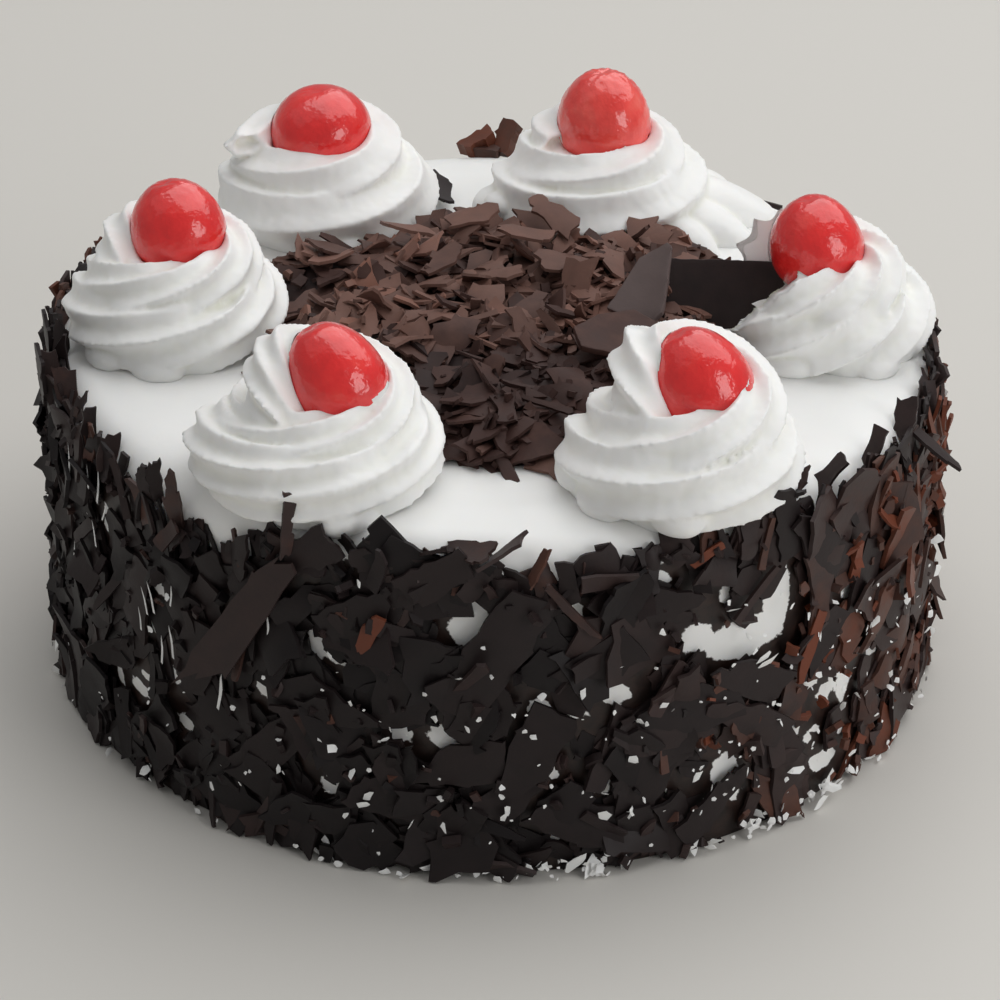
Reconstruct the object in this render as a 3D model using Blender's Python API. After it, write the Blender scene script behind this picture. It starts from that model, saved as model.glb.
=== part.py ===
"""A black forest cake, 20 cm across, whole and uncut.

The cream-covered cake is a turned solid that stands on its flat base. A sleeve of
chocolate shavings wraps its side, and a low mound of shavings lies in the middle of
its top. Six piped cream rosettes stand in a ring round the mound, each with a glazed
cherry pressed into it, and three large chocolate shards lie on the mound.

Metres, +Z up. The origin is the centre of the base, on the surface the cake stands on.
"""
from math import atan2, cos, exp, hypot, pi, radians, sin, sqrt, tau

import bmesh
import bpy
from mathutils import Matrix, Vector, noise

MM = 0.001
GAP = 0.3 * MM               # clearance between pieces that touch

# Cream-covered cake
CAKE_RADIUS = 95.4 * MM
CAKE_HEIGHT = 76.0 * MM
SHOULDER = 7.0 * MM          # rounding of the top edge
FOOT = 1.5 * MM              # rounding of the bottom edge
CAKE_SIDES = 64

# Sleeve of shavings round the side
COAT_INSIDE = CAKE_RADIUS + GAP
COAT_THICKNESS = 3.2 * MM    # average, out to the tips of the shavings
COAT_UNEVEN = 1.3 * MM       # slow swell of the coat
COAT_FLAKES = 0.9 * MM       # steps from one shaving to the next
COAT_THIN_EDGE = 0.55        # share of the thickness at the foot and at the top
COAT_TOP = 75.5 * MM
COAT_RAGGED = 3.5 * MM       # how far tips stand above or below that height
COAT_SIDES = 72
COAT_ROWS = 7
COAT_LEVEL_UNDER_ROSETTE = 73.0 * MM
# azimuth and half-width in degrees, depth: where bare cream shows lower down
COAT_DIPS = ((-80, 13, 4.5 * MM), (70, 20, 3.0 * MM))

# Mound of shavings on the top
MOUND_REACH = 58.0 * MM
MOUND_FRONT_REACH = 66.0 * MM
MOUND_CLEARANCE = 1.0        # mm between the mound and a rosette's base
MOUND_FRONT_AZIMUTH = -88
MOUND_FRONT_WIDTH = 22
MOUND_HEIGHT = 9.0 * MM
MOUND_UNEVEN = 1.6 * MM      # slow swell
MOUND_FLAKES = 0.8 * MM      # steps from one shaving to the next
MOUND_GRAIN = 7.0 * MM
MOUND_FEET = 2.2 * MM        # height of the mound's edge
MOUND_LEAN = 0.985           # how far in the top of that edge leans
MOUND_SIDES = 60
MOUND_RINGS = 6

# Piped rope of every rosette
ROPE_RADIUS = 9.3 * MM
ROPE_END_RADIUS = 7.4 * MM
ROPE_TEETH = 8
ROPE_TOOTH_DEPTH = 0.15      # of the rope's radius
ROPE_SAG = 0.72              # height of the rope's middle on the cake, in radii
ROPE_TURNS = 2.15
ROPE_FLAT_TURNS = 0.75       # turns laid flat on the cake before the rope climbs
ROPE_END_COIL = 10.6 * MM    # radius of the coil at its end
ROSETTE_SIDES = 4 * ROPE_TEETH
ROSETTE_ROWS = 11
ROSETTE_TWIST = 3.1          # how fast a ridge runs round the rosette as it climbs
ROSETTE_HOLLOW = 14.0 * MM   # height of the cream under the cherry
ROSETTE_TOP_RISE = 84        # degrees above the base, where the rows end round the axis
ROSETTE_BEYOND = 46.0 * MM   # a distance outside every rosette
ROSETTE_STEP = 0.15 * MM     # how closely the rope's surface is found
# centre x, y, base radius, height of the rope's middle at its end, azimuth of that end
ROSETTES = (
    (71.2, -3.4, 23.4, 18.5, 172),
    (23.6, 59.0, 26.8, 15.5, 195),
    (-39.6, 55.2, 26.0, 17.5, 185),
    (-69.0, -5.4, 24.4, 18.5, 165),
    (-35.4, -66.2, 26.2, 19.0, 150),
    (36.6, -67.0, 24.0, 20.0, 140),
)

# Cherries: x and y offset from the rosette's centre, height of the centre above the
# cake, width, length, how much narrower the top is, lean and its azimuth in degrees
CHERRIES = (
    (-3.8, 0.4, 23.4, 19.6, 20.5, 0.10, 24, 150),
    (0.2, 2.0, 23.6, 20.8, 23.5, 0.16, 6, 180),
    (-1.4, 0.2, 22.0, 22.6, 20.0, 0.04, 10, 190),
    (0.6, 3.2, 23.6, 21.0, 20.4, 0.08, 14, 160),
    (4.0, 0.0, 24.2, 19.4, 21.0, 0.12, 26, 130),
    (3.2, 1.4, 24.4, 19.8, 21.2, 0.12, 24, 135),
)
CHERRY_DIMPLE = 0.10         # of half the length
CHERRY_SIDES = 12
CHERRY_RINGS = 8

# Large shards on the mound
SHARD_THICKNESS = 1.6 * MM


# --- small helpers ---------------------------------------------------------------

def clear_scene():
    for thing in list(bpy.data.objects):
        bpy.data.objects.remove(thing, do_unlink=True)


def make_material(name, colour, roughness):
    material = bpy.data.materials.new(name)
    material.use_nodes = True
    shader = material.node_tree.nodes["Principled BSDF"]
    shader.inputs["Base Color"].default_value = (*colour, 1.0)
    shader.inputs["Roughness"].default_value = roughness
    shader.inputs["Metallic"].default_value = 0.0
    return material


def finish_object(name, bm, material):
    """Turn a bmesh into a named, smooth-shaded object."""
    mesh = bpy.data.meshes.new(name)
    bm.to_mesh(mesh)
    bm.free()
    mesh.materials.append(material)
    mesh.shade_smooth()
    mesh.set_sharp_from_angle(angle=radians(50))
    thing = bpy.data.objects.new(name, mesh)
    bpy.context.scene.collection.objects.link(thing)
    return thing


def add_ring(bm, points):
    return [bm.verts.new(point) for point in points]


def bridge(bm, lower, upper):
    """Faces between two rings of equal length."""
    count = len(lower)
    for i in range(count):
        j = (i + 1) % count
        bm.faces.new((lower[i], lower[j], upper[j], upper[i]))


def fan(bm, ring, tip):
    count = len(ring)
    for i in range(count):
        bm.faces.new((ring[i], ring[(i + 1) % count], tip))


def polar(radius, angle, height=0.0):
    return Vector((radius * cos(angle), radius * sin(angle), height))


def smooth_noise(x, y, z, seed):
    """A value from about -1 to 1 that changes over one unit of x, y and z."""
    return noise.noise(Vector((x + 17.3 * seed, y - 5.1 * seed, z + 9.7 * seed)))


def step_noise(x, y, z, seed):
    """A value from 0 to 1 that is the same within each unit cell."""
    return noise.cell(Vector((x + 17.3 * seed, y - 5.1 * seed, z + 9.7 * seed)))


def angle_between(a, b):
    """Smallest angle between two azimuths in degrees."""
    return abs((a - b + 180) % 360 - 180)


def subtract(thing, cutter):
    """Cut one object with another, by an exact Boolean."""
    cutter.hide_render = True
    cutter.display_type = "WIRE"
    modifier = thing.modifiers.new("Cut by " + cutter.name, "BOOLEAN")
    modifier.operation = "DIFFERENCE"
    modifier.solver = "EXACT"
    modifier.object = cutter


# --- the cream-covered cake ------------------------------------------------------

def rounded_profile():
    """Radius and height up the side, round both edges."""
    points = []
    for step in range(3):
        turn = -pi / 2 + step * pi / 4
        points.append((CAKE_RADIUS - FOOT + FOOT * cos(turn), FOOT + FOOT * sin(turn)))
    for step in range(5):
        turn = step * pi / 8
        points.append((CAKE_RADIUS - SHOULDER + SHOULDER * cos(turn),
                       CAKE_HEIGHT - SHOULDER + SHOULDER * sin(turn)))
    return points


def make_cake(material):
    bm = bmesh.new()
    rings = []
    for radius, height in rounded_profile():
        rings.append(add_ring(bm, [polar(radius, tau * i / CAKE_SIDES, height)
                                   for i in range(CAKE_SIDES)]))
    for lower, upper in zip(rings, rings[1:]):
        bridge(bm, lower, upper)
    bm.faces.new(list(reversed(rings[0])))
    bm.faces.new(rings[-1])
    return finish_object("cake_body", bm, material)


# --- rosettes --------------------------------------------------------------------

def rope_centre(rosette, turned):
    """Distance from the rosette's axis, height and rope radius after so many turns."""
    _, _, base, end_height, _ = rosette
    start_radius = base * MM - ROPE_RADIUS
    climb = max(0.0, (turned - ROPE_FLAT_TURNS) / (ROPE_TURNS - ROPE_FLAT_TURNS))
    radius = start_radius + (ROPE_END_COIL - start_radius) * sin(climb * pi / 2)
    size = ROPE_RADIUS + (ROPE_END_RADIUS - ROPE_RADIUS) * climb
    low = ROPE_SAG * ROPE_RADIUS
    height = low + (end_height * MM - low) * climb
    return radius, height, size


def reach_along(rosette, angle, rise):
    """How far the coiled rope reaches along a ray from the middle of the rosette's base.

    The rope's cross-section is a circle with teeth. The nozzle does not turn while it
    is led round, so the teeth roll once round the rope on every turn.
    """
    end_angle = radians(rosette[4])
    start_angle = end_angle - tau * ROPE_TURNS
    across, up = cos(rise), sin(rise)
    farthest = 0.0
    turned = ((angle - start_angle) / tau) % 1.0
    while turned < ROPE_TURNS:
        radius, height, size = rope_centre(rosette, turned)
        reach = ROSETTE_BEYOND
        while reach > farthest:
            out, high = reach * across - radius, reach * up - height
            tooth = cos(ROPE_TEETH * (atan2(high, out) - angle))
            if hypot(out, high) < size * (1 - ROPE_TOOTH_DEPTH + ROPE_TOOTH_DEPTH * tooth):
                farthest = reach
                break
            reach -= ROSETTE_STEP
        turned += 1.0
    return farthest


def make_rosette(index, rosette, material):
    bm = bmesh.new()
    centre = Vector((rosette[0] * MM, rosette[1] * MM, CAKE_HEIGHT + GAP))
    rings = []
    for row in range(ROSETTE_ROWS):
        rise = radians(ROSETTE_TOP_RISE) * row / (ROSETTE_ROWS - 1)
        ring = []
        for i in range(ROSETTE_SIDES):
            angle = tau * i / ROSETTE_SIDES + ROSETTE_TWIST * rise
            reach = max(reach_along(rosette, angle, rise), ROSETTE_HOLLOW)
            ring.append(centre + polar(reach * cos(rise), angle, reach * sin(rise)))
        rings.append(add_ring(bm, ring))
    for lower, upper in zip(rings, rings[1:]):
        bridge(bm, lower, upper)
    bm.faces.new(list(reversed(rings[0])))
    fan(bm, rings[-1], bm.verts.new(centre + Vector((0, 0, ROSETTE_HOLLOW))))
    return finish_object(f"rosette_{index}", bm, material)


# --- cherries --------------------------------------------------------------------

def make_cherry(name, rosette, cherry, material, grow=0.0):
    """An egg-like glazed cherry with a shallow dimple on top."""
    dx, dy, rise, width, length, taper, lean, lean_azimuth = cherry
    bm = bmesh.new()
    bmesh.ops.create_uvsphere(bm, u_segments=CHERRY_SIDES, v_segments=CHERRY_RINGS, radius=1.0)
    for vertex in bm.verts:
        up = vertex.co.z
        side = (width * MM / 2 + grow) * (1 - taper * up)
        aside = hypot(vertex.co.x, vertex.co.y)
        dimple = CHERRY_DIMPLE * exp(-(aside / 0.25) ** 2) if up > 0 else 0.0
        vertex.co = Vector((vertex.co.x * side, vertex.co.y * side,
                            (length * MM / 2 + grow) * (up - dimple)))
    heading = radians(lean_azimuth)
    tilt = Matrix.Rotation(radians(lean), 4, Vector((-sin(heading), cos(heading), 0)))
    place = Matrix.Translation(((rosette[0] + dx) * MM, (rosette[1] + dy) * MM,
                                CAKE_HEIGHT + rise * MM))
    bmesh.ops.transform(bm, matrix=place @ tilt, verts=bm.verts)
    return finish_object(name, bm, material)


# --- shavings --------------------------------------------------------------------

def coat_top(azimuth):
    """Height of the coat's ragged upper edge at an azimuth in degrees."""
    turn = radians(azimuth)
    tips = 2 * step_noise(29 * cos(turn), 29 * sin(turn), 0, 1) - 1
    top = COAT_TOP + COAT_RAGGED * tips
    for at, width, depth in COAT_DIPS:
        top -= depth * exp(-(angle_between(azimuth, at) / width) ** 2)
    for x, y, base, _, _ in ROSETTES:
        nearest = hypot(x * MM - COAT_INSIDE * cos(turn), y * MM - COAT_INSIDE * sin(turn))
        if nearest < base * MM + COAT_THICKNESS + COAT_UNEVEN:
            top = min(top, COAT_LEVEL_UNDER_ROSETTE)
    return top


def make_coat(material):
    bm = bmesh.new()
    rings = []
    for row in range(COAT_ROWS + 1):
        part = row / COAT_ROWS
        ring = []
        for i in range(COAT_SIDES):
            turn = tau * i / COAT_SIDES
            height = part * coat_top(turn * 180 / pi)
            bump = smooth_noise(9 * cos(turn), 9 * sin(turn), 7 * part, 2)
            flake = 2 * step_noise(13 * cos(turn), 13 * sin(turn), COAT_ROWS * part, 4) - 1
            thick = COAT_THICKNESS + COAT_UNEVEN * bump + COAT_FLAKES * flake
            if row in (0, COAT_ROWS):
                thick *= COAT_THIN_EDGE
            ring.append(polar(COAT_INSIDE + thick, turn, height))
        rings.append(add_ring(bm, ring))
    inside_top = [polar(COAT_INSIDE, tau * i / COAT_SIDES, coat_top(360 * i / COAT_SIDES) - MM)
                  for i in range(COAT_SIDES)]
    inside_foot = [polar(COAT_INSIDE, tau * i / COAT_SIDES) for i in range(COAT_SIDES)]
    rings.append(add_ring(bm, inside_top))
    rings.append(add_ring(bm, inside_foot))
    for lower, upper in zip(rings, rings[1:] + rings[:1]):
        bridge(bm, lower, upper)
    return finish_object("side_shavings", bm, material)


def mound_edge(turn):
    """How far the mound reaches, kept clear of the rosettes' bases."""
    aside = angle_between(turn * 180 / pi, MOUND_FRONT_AZIMUTH)
    front = exp(-(aside / MOUND_FRONT_WIDTH) ** 2)
    reach = MOUND_REACH + (MOUND_FRONT_REACH - MOUND_REACH) * front
    for x, y, base, _, _ in ROSETTES:
        along = (x * cos(turn) + y * sin(turn)) * MM
        aside = (-x * sin(turn) + y * cos(turn)) * MM
        keep_off = (base + MOUND_CLEARANCE) * MM
        if along > 0 and abs(aside) < keep_off:
            reach = min(reach, along - sqrt(keep_off ** 2 - aside ** 2))
    return reach


def make_mound(material):
    bm = bmesh.new()
    foot = CAKE_HEIGHT + GAP
    rings = [add_ring(bm, [polar(mound_edge(tau * i / MOUND_SIDES), tau * i / MOUND_SIDES, foot)
                           for i in range(MOUND_SIDES)])]
    for row in range(MOUND_RINGS):
        part = 1 - row / MOUND_RINGS
        ring = []
        for i in range(MOUND_SIDES):
            turn = tau * i / MOUND_SIDES
            reach = mound_edge(turn) * (part if row else MOUND_LEAN)
            x, y = (reach / MOUND_GRAIN * cos(turn), reach / MOUND_GRAIN * sin(turn))
            bump = MOUND_UNEVEN * smooth_noise(x, y, 0, 3)
            flake = MOUND_FLAKES * (2 * step_noise(x, y, 0, 5) - 1)
            height = MOUND_FEET + (MOUND_HEIGHT - MOUND_FEET) * (1 - part ** 3) ** 0.5
            ring.append(polar(reach, turn, foot + height + bump + flake))
        rings.append(add_ring(bm, ring))
    for lower, upper in zip(rings, rings[1:]):
        bridge(bm, lower, upper)
    bm.faces.new(list(reversed(rings[0])))
    fan(bm, rings[-1], bm.verts.new((0, 0, foot + MOUND_HEIGHT)))
    return finish_object("top_shavings", bm, material)


# --- large shards ----------------------------------------------------------------

def make_shard(name, outline, curl, material, place, grow=0.0):
    """A thin plate with a hand-broken outline, rolled about its long side by curl (1/m)."""
    bm = bmesh.new()
    half = SHARD_THICKNESS / 2 + grow
    middle = sum((Vector((x, y, 0)) for x, y in outline), Vector()) / len(outline)
    sides = []
    for side in (-1, 1):
        ring = []
        for x, y in outline:
            point = Vector((x, y, 0)) * MM
            point += (point - middle * MM).normalized() * grow
            point.z = side * half + 0.5 * curl * point.x ** 2
            ring.append(point)
        sides.append(add_ring(bm, ring))
    bridge(bm, sides[0], sides[1])
    for ring, side in ((sides[0][::-1], -1), (sides[1], 1)):
        point = middle * MM
        point.z = side * half + 0.5 * curl * point.x ** 2
        fan(bm, ring, bm.verts.new(point))
    bmesh.ops.transform(bm, matrix=place, verts=bm.verts)
    return finish_object(name, bm, material)


def pose(x, y, z, tip, turn, roll=0.0):
    """A place for a plate: rolled about its own X, tipped up, then turned about Z."""
    return (Matrix.Translation((x * MM, y * MM, z * MM)) @ Matrix.Rotation(radians(turn), 4, "Z")
            @ Matrix.Rotation(radians(tip), 4, "X") @ Matrix.Rotation(radians(roll), 4, "Y"))


# outline in mm, curl in 1/m, place, colour
SHARDS = {
    "shard_slab": (((-13, -4), (-5, -5.5), (4, -5), (9, -2), (14, 7), (6, 6.4), (-4, 6.6), (-13, 7)),
                   6.0, pose(49.3, 0.2, 84.4, 64, -3), (0.020, 0.012, 0.010)),
    "shard_curl": (((-8, -9), (-1, -10.5), (6, -8), (8.5, -1), (8, 7), (4, 10), (-1, 8.5), (-5, 2)),
                   55.0, pose(33.0, -7.0, 91.6, 34, -28), (0.075, 0.052, 0.045)),
    "shard_flat": (((-9, -3), (-2, -6.5), (7, -5), (9.5, 0), (7, 5), (-1, 6), (-8, 3)),
                   18.0, pose(24.5, -27.0, 88.4, 16, 24), (0.090, 0.050, 0.040)),
}


# --- the whole cake --------------------------------------------------------------

def build():
    clear_scene()
    cream = make_material("whipped cream", (0.86, 0.86, 0.82), 0.45)
    chocolate = make_material("chocolate shavings", (0.022, 0.014, 0.012), 0.55)
    brown = make_material("milk chocolate shavings", (0.060, 0.032, 0.026), 0.6)
    red = make_material("glazed cherry", (0.60, 0.03, 0.03), 0.12)

    make_cake(cream)
    make_coat(chocolate)
    mound = make_mound(brown)
    rosettes = []
    for index, (rosette, cherry) in enumerate(zip(ROSETTES, CHERRIES), start=1):
        swirl = make_rosette(index, rosette, cream)
        make_cherry(f"cherry_{index}", rosette, cherry, red)
        subtract(swirl, make_cherry(f"cherry_{index}_seat", rosette, cherry, red, GAP))
        rosettes.append(swirl)
    for name, (outline, curl, place, colour) in SHARDS.items():
        material = make_material(name.replace("_", " "), colour, 0.45)
        make_shard(name, outline, curl, material, place)
        if name == "shard_slab":
            room = make_shard(name + "_room", outline, curl, material, place, GAP)
            subtract(mound, room)
            subtract(rosettes[0], room)


build()
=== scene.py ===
# %% [markdown]
# # The looks of a black forest cake
#
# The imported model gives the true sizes: a cream-covered cake, a coat of chocolate shavings, a heap
# on top, six piped rosettes with cherries and three big shards. This lesson puts the real surfaces
# round that frame: ropes of piped cream, thousands of broken chocolate shavings and glazed fruit.

import random
from math import atan2, cos, degrees, exp, hypot, pi, radians, sin, tau

import bmesh
import bpy
import numpy as np
from mathutils import Matrix, Vector, noise
from mathutils.bvhtree import BVHTree


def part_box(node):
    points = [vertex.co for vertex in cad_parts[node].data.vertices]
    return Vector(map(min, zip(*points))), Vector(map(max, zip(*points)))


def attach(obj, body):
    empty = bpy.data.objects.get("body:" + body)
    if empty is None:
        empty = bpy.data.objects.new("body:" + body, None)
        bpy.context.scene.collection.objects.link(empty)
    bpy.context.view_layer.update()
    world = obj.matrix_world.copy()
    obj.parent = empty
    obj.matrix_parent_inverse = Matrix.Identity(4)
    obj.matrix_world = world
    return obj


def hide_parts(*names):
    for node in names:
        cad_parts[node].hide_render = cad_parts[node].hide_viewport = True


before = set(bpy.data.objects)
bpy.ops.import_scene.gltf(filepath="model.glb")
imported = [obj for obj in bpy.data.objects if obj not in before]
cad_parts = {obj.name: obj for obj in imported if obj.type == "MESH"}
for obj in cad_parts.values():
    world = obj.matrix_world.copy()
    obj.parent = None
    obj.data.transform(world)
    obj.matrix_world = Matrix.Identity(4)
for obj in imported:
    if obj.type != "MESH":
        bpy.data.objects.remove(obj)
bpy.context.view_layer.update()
MM = 0.001
chance = random.Random(11)
body_low, body_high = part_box("cake_body")
CREAM_TOP = body_high.z
BODY_RADIUS = (body_high.x - body_low.x) / 2
print(f"cake {BODY_RADIUS * 2000:.0f} mm across the cream, {CREAM_TOP * 1000:.0f} mm high")

# %% [markdown]
# ## Helpers
#
# Three small functions serve every finish: one turns a hex colour into linear light, one adds a
# node with its settings and links, and one starts a Principled material. The others turn a bmesh
# into a piece that rides on the cake, smooth it, and give places and lumps.

# %% Colour and nodes


def linear(hex_code):
    """An sRGB hex colour as linear RGBA."""
    parts = [int(hex_code[i:i + 2], 16) / 255 for i in (1, 3, 5)]
    return [p / 12.92 if p <= 0.04045 else ((p + 0.055) / 1.055) ** 2.4 for p in parts] + [1.0]


def add_node(material, kind, values=None, links=None, **settings):
    """Add one node: values fill its sockets, links join its sockets to others, settings are its own."""
    node = material.node_tree.nodes.new("ShaderNode" + kind)
    for name, value in settings.items():
        setattr(node, name, value)
    for socket, value in (values or {}).items():
        node.inputs[socket].default_value = value
    for socket, source in (links or {}).items():
        material.node_tree.links.new(source, node.inputs[socket])
    return node


def new_finish(name, **values):
    """A Principled material with some sockets set. Returns the material and its shader node."""
    material = bpy.data.materials.new(name)
    material.use_nodes = True
    shader = material.node_tree.nodes["Principled BSDF"]
    for socket, value in values.items():
        shader.inputs[socket.replace("_", " ")].default_value = value
    return material, shader


def join_sockets(material, source, target):
    material.node_tree.links.new(source, target)


def colour_ramp(material, factor, stops):
    """A ramp through (position, hex) stops."""
    node = add_node(material, "ValToRGB", links={"Fac": factor})
    ramp = node.color_ramp
    while len(ramp.elements) < len(stops):
        ramp.elements.new(0.5)
    for element, (position, hex_code) in zip(ramp.elements, stops):
        element.position = position
        element.color = linear(hex_code)
    return node


# %% Objects


def place_mesh(name, mesh, material, slot, *replaced):
    """Put a mesh in the scene as a piece of the cake."""
    mesh.materials.clear()
    mesh.materials.append(material)
    piece = bpy.data.objects.new(name, mesh)
    bpy.context.scene.collection.objects.link(piece)
    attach(piece, "root")
    if replaced:
        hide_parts(*replaced)
    triangles = sum(len(face.vertices) - 2 for face in mesh.polygons)
    print(f"{name}: {len(mesh.vertices)} points, {triangles} triangles")
    return piece


def mesh_from(name, bm, sharp_angle=None):
    """A smooth-shaded mesh from a bmesh, with creases kept sharp past an angle in degrees."""
    mesh = bpy.data.meshes.new(name)
    bm.to_mesh(mesh)
    bm.free()
    mesh.shade_smooth()
    if sharp_angle:
        mesh.set_sharp_from_angle(angle=radians(sharp_angle))
    return mesh


def store(mesh, name, values):
    """Keep one number for each point of a mesh, for a finish to read."""
    mesh.attributes.new(name, "FLOAT", "POINT").data.foreach_set("value", values)


def smooth_points(bm, verts, factor, rounds=1):
    """Draw points towards the middle of their neighbours."""
    for _ in range(rounds):
        bmesh.ops.smooth_vert(bm, verts=verts, factor=factor, use_axis_x=True, use_axis_y=True,
                              use_axis_z=True)


def polar(radius, angle, height=0.0):
    return Vector((radius * cos(angle), radius * sin(angle), height))


def clamp(value):
    return min(1.0, max(0.0, value))


def bumps(point, size, seed):
    """Smooth noise from about -1 to 1 whose lumps are the given size."""
    return noise.noise(point / size + Vector((seed * 7.1, -seed * 3.7, seed * 11.3)))


# %% [markdown]
# ## Camera, floor and light
#
# The cake is seen from about 30 degrees above the table and 70 cm away, through a long lens, so
# its sides look nearly parallel. A very large soft lamp stands above and behind on the right and
# leaves the near side of the cream a soft grey. A low window in front on the right gives every
# cherry its highlight, and a weak lamp on the left keeps the shade there from going dark.

# %% Camera
CAMERA_RISE = radians(29.8)
CAMERA_DISTANCE = 0.698
CAMERA_AIM = Vector((0.0013, 0.0, 0.0322))
CAMERA_ROLL = radians(0.79)
LENS_MM = 112.1
SENSOR_MM = 36
NEAREST_SEEN = 0.05

camera_data = bpy.data.cameras.new("Camera")
camera_data.lens = LENS_MM
camera_data.sensor_width = SENSOR_MM
camera_data.clip_start = NEAREST_SEEN
camera = bpy.data.objects.new("Camera", camera_data)
bpy.context.scene.collection.objects.link(camera)
toward_camera = Vector((0, -cos(CAMERA_RISE), sin(CAMERA_RISE)))
upward = Vector((0, sin(CAMERA_RISE), cos(CAMERA_RISE)))
camera.matrix_world = (Matrix.Translation(CAMERA_AIM + toward_camera * CAMERA_DISTANCE)
                       @ Matrix((Vector((1, 0, 0)), upward, toward_camera)).transposed().to_4x4()
                       @ Matrix.Rotation(CAMERA_ROLL, 4, "Z"))
bpy.context.scene.camera = camera
print("camera stands at", [round(value, 3) for value in camera.location])

# %% Floor
FLOOR_RADIUS = 3.0
floor_bm = bmesh.new()
bmesh.ops.create_circle(floor_bm, cap_ends=True, segments=96, radius=FLOOR_RADIUS)
floor_finish, _ = new_finish("pale matt tabletop", Base_Color=linear("#d9d6d0"), Roughness=0.7)
floor = bpy.data.objects.new("floor", mesh_from("floor", floor_bm))
floor.data.materials.append(floor_finish)
bpy.context.scene.collection.objects.link(floor)
print("floor", FLOOR_RADIUS * 2, "m across")

# %% Light


def soft_lamp(name, azimuth, rise, distance, size, power):
    """A square lamp that looks at the cake from an azimuth and a height in degrees."""
    data = bpy.data.lights.new(name, "AREA")
    data.shape = "SQUARE"
    data.size = size
    data.energy = power
    lamp = bpy.data.objects.new(name, data)
    bpy.context.scene.collection.objects.link(lamp)
    aim = Vector((0, 0, CREAM_TOP))
    away = polar(cos(radians(rise)), radians(azimuth), sin(radians(rise)))
    lamp.location = aim + away * distance
    lamp.rotation_mode = "QUATERNION"
    lamp.rotation_quaternion = away.to_track_quat("Z", "Y")
    print(f"{name}: {power} W, {size} m wide")


soft_lamp("ceiling light", azimuth=48, rise=62, distance=1.3, size=1.9, power=16.0)
soft_lamp("window", azimuth=-38, rise=17, distance=1.0, size=0.52, power=2.4)
soft_lamp("room fill", azimuth=-175, rise=62, distance=2.0, size=2.0, power=3.0)
ROOM_LIGHT = 0.26
world = bpy.data.worlds.new("studio")
world.use_nodes = True
world.node_tree.nodes["Background"].inputs["Color"].default_value = (1, 1, 1, 1)
world.node_tree.nodes["Background"].inputs["Strength"].default_value = ROOM_LIGHT
bpy.context.scene.world = world
bpy.context.scene.view_settings.view_transform = "Standard"

# %% [markdown]
# ## Whipped cream
#
# Whipped cream is a fine fatty foam: nearly white, soft-edged, with a gentle satin gloss and no
# grain. Its colour barely changes; only the grooves get painted shade, a little darker and faintly
# yellow.
# Each cream piece carries an attribute "groove", 0 on crests and 1 in valleys, that the finish reads.

# %% Cream finish


def cream_finish(name):
    """White satin foam with painted shade, a little darker and yellow, in its grooves."""
    material, shader = new_finish(name, Roughness=0.42, IOR=1.42, Subsurface_Weight=0.15,
                                  Subsurface_Scale=0.002)
    shader.inputs["Subsurface Radius"].default_value = (1.0, 0.85, 0.7)
    groove = add_node(material, "Attribute", attribute_name="groove").outputs["Fac"]
    # painted shade: the deeper a point lies in a groove, the darker and yellower its colour
    painted_groove_shade = colour_ramp(material, groove, [(0.0, "#f7f7f5"), (0.3, "#f3f3ec"), (1.0, "#dcdcb9")])
    join_sockets(material, painted_groove_shade.outputs["Color"], shader.inputs["Base Color"])
    place = add_node(material, "TexCoord").outputs["Object"]
    # soft dimples 4 mm apart, as a spatula or nozzle leaves them
    dimples = add_node(material, "TexNoise", {"Scale": 1 / (4 * MM), "Detail": 2.0},
                       {"Vector": place})
    gloss = add_node(material, "MapRange", {"To Min": 0.34, "To Max": 0.52},
                     {"Value": dimples.outputs["Fac"]})
    join_sockets(material, gloss.outputs["Result"], shader.inputs["Roughness"])
    bump = add_node(material, "Bump", {"Strength": 0.35, "Distance": 0.25 * MM},
                    {"Height": dimples.outputs["Fac"]})
    join_sockets(material, bump.outputs["Normal"], shader.inputs["Normal"])
    return material


piped_cream = cream_finish("piped whipped cream")
GROOVE_REACH = 0.9 * MM
GROOVE_ROUNDS = 14


def mark_grooves(mesh):
    """Store how far each point lies below the smoothed surface, 0 to 1, as "groove", for painted shade.
    """
    bm = bmesh.new()
    bm.from_mesh(mesh)
    bm.normal_update()
    before = [vertex.co.copy() for vertex in bm.verts]
    normals = [vertex.normal.copy() for vertex in bm.verts]
    smooth_points(bm, bm.verts, 0.5, GROOVE_ROUNDS)
    depth = [(vertex.co - start).dot(normal) / GROOVE_REACH
             for vertex, start, normal in zip(bm.verts, before, normals)]
    bm.free()
    store(mesh, "groove", np.clip(depth, 0, 1))


# %% [markdown]
# ## Cherries
#
# A glazed cherry is a preserved cherry with its stone taken out, so it is a lopsided ball with a
# dimple where the stalk was. Syrup gives it a thick clear gloss over a translucent red. Each one is
# a sphere shaped by one formula, set at the place of its node in the frame.

# %% Cherry shapes
# narrowing at the top, lean and its azimuth in degrees, wrinkles in mm, width and length in mm
CHERRIES = {
    1: (0.12, 14, 165, 0.10, 20.0, 21.5),
    2: (0.14, 4, 180, 0.28, 21.6, 23.5),
    3: (0.04, 10, 190, 0.07, 23.2, 20.0),
    4: (0.12, 14, 160, 0.14, 20.4, 21.0),
    5: (0.10, 28, 165, 0.07, 19.4, 24.0),
    6: (0.10, 26, 165, 0.06, 20.2, 24.0),
}
# the shapes below are fractions of a cherry's radius
CHERRY_DIMPLE = 0.06
DIMPLE_WIDTH = 0.25
LOPSIDED = 0.025
LOPSIDED_SIZE = 0.8
WRINKLE_SIZE = 0.13
# how much deeper than their nodes some have settled, in mm
CHERRY_SINK = {1: 1.0, 5: 2.8, 6: 3.4}


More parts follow.
